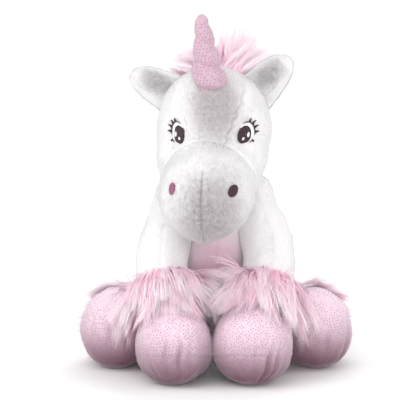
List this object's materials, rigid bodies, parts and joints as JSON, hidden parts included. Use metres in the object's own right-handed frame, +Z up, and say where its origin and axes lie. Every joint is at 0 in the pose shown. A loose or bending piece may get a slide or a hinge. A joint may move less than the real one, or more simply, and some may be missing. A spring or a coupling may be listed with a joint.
{
  "type": "plush unicorn",
  "caption": "Seated plush unicorn with a padded horn, long-fur mane, cuffs and tail, round glitter-dot hooves, and legs, head, ears and tail that flex on their seams.",
  "frame": {"origin": "centre of the bounding box, at its bottom face, which is the table that the toy sits on", "axes": "+Z up, -Y the way the toy faces, +X its own left side"},
  "size_m": [0.283, 0.3066, 0.3815],
  "materials": {
    "white_plush": "short soft pile, matt",
    "ear_lining": "short soft pile, matt",
    "pink_fur": "long soft fur with a faint sheen",
    "dotted_cloth": "smooth velour with small glitter dots",
    "filling": "fluffy polyester fibre, matt",
    "pellet_cloth": "plain woven cotton",
    "horn_thread": "twisted thread, satin",
    "eye_thread": "satin embroidery",
    "nose_thread": "satin embroidery"
  },
  "bodies": {
    "torso": {"torso_skin": "white_plush", "torso_stuffing": "filling", "pellet_bag": "pellet_cloth"},
    "neck": {"neck_skin": "white_plush", "neck_stuffing": "filling"},
    "head": {"head_skin": "white_plush", "head_stuffing": "filling", "muzzle_panel": "white_plush", "muzzle_stuffing": "filling", "left_eye": "eye_thread", "right_eye": "eye_thread", "left_nostril": "nose_thread", "right_nostril": "nose_thread", "mane_fur": "pink_fur"},
    "horn": {"horn_cover": "dotted_cloth", "horn_stuffing": "filling", "horn_thread": "horn_thread"},
    "left_ear": {"left_ear_outer": "white_plush", "left_ear_inner": "ear_lining"},
    "right_ear": {"right_ear_outer": "white_plush", "right_ear_inner": "ear_lining"},
    "tail": {"tail_root": "white_plush", "tail_fur": "pink_fur"},
    "front_left_leg": {"front_left_leg_skin": "white_plush", "front_left_leg_stuffing": "filling", "front_left_fetlock_fur": "pink_fur", "front_left_hoof_cover": "dotted_cloth", "front_left_hoof_stuffing": "filling"},
    "front_right_leg": {"front_right_leg_skin": "white_plush", "front_right_leg_stuffing": "filling", "front_right_fetlock_fur": "pink_fur", "front_right_hoof_cover": "dotted_cloth", "front_right_hoof_stuffing": "filling"},
    "rear_left_leg": {"rear_left_leg_skin": "white_plush", "rear_left_leg_stuffing": "filling", "rear_left_fetlock_fur": "pink_fur", "rear_left_hoof_cover": "dotted_cloth", "rear_left_hoof_stuffing": "filling"},
    "rear_right_leg": {"rear_right_leg_skin": "white_plush", "rear_right_leg_stuffing": "filling", "rear_right_fetlock_fur": "pink_fur", "rear_right_hoof_cover": "dotted_cloth", "rear_right_hoof_stuffing": "filling"}
  },
  "joints": [
    {"name": "neck_turn", "type": "hinge", "parent": "torso", "child": "neck", "pos_m": [0, -0.014, 0.206], "axis": [0, 0, 1], "range_deg": [-12, 16], "stiffness_Nm_per_rad": 2},
    {"name": "head_nod", "type": "hinge", "parent": "neck", "child": "head", "pos_m": [0, -0.014, 0.206], "axis": [1, 0, 0], "range_deg": [-12, 2], "stiffness_Nm_per_rad": 2},
    {"name": "horn_flex", "type": "hinge", "parent": "head", "child": "horn", "pos_m": [-0.00605, -0.06549, 0.3061], "axis": [0.9869, -0.1377, 0.0842], "range_deg": [-6, 6], "stiffness_Nm_per_rad": 0.05},
    {"name": "left_ear_flop", "type": "hinge", "parent": "head", "child": "left_ear", "pos_m": [0.04306, -0.03891, 0.29324], "axis": [0.7146, -0.0828, -0.6946], "range_deg": [-12, 18], "stiffness_Nm_per_rad": 0.02},
    {"name": "right_ear_flop", "type": "hinge", "parent": "head", "child": "right_ear", "pos_m": [-0.0425, -0.02917, 0.28773], "axis": [0.4666, -0.0514, 0.883], "range_deg": [-12, 18], "stiffness_Nm_per_rad": 0.02},
    {"name": "front_left_leg_swing", "type": "hinge", "parent": "torso", "child": "front_left_leg", "pos_m": [0.041, -0.006, 0.178], "axis": [-1, 0, 0], "range_deg": [0, 10], "stiffness_Nm_per_rad": 0.5},
    {"name": "front_right_leg_swing", "type": "hinge", "parent": "torso", "child": "front_right_leg", "pos_m": [-0.041, -0.006, 0.178], "axis": [-1, 0, 0], "range_deg": [0, 10], "stiffness_Nm_per_rad": 0.5},
    {"name": "rear_left_leg_splay", "type": "hinge", "parent": "torso", "child": "rear_left_leg", "pos_m": [0.046, 0.046, 0.05], "axis": [0, 0, 1], "range_deg": [0, 18], "stiffness_Nm_per_rad": 0.5},
    {"name": "rear_right_leg_splay", "type": "hinge", "parent": "torso", "child": "rear_right_leg", "pos_m": [-0.046, 0.046, 0.05], "axis": [0, 0, -1], "range_deg": [0, 18], "stiffness_Nm_per_rad": 0.5},
    {"name": "tail_swing", "type": "hinge", "parent": "torso", "child": "tail", "pos_m": [0, 0.0983, 0.062], "axis": [0, 0, 1], "range_deg": [-14, 14], "stiffness_Nm_per_rad": 0.02}
  ]
}
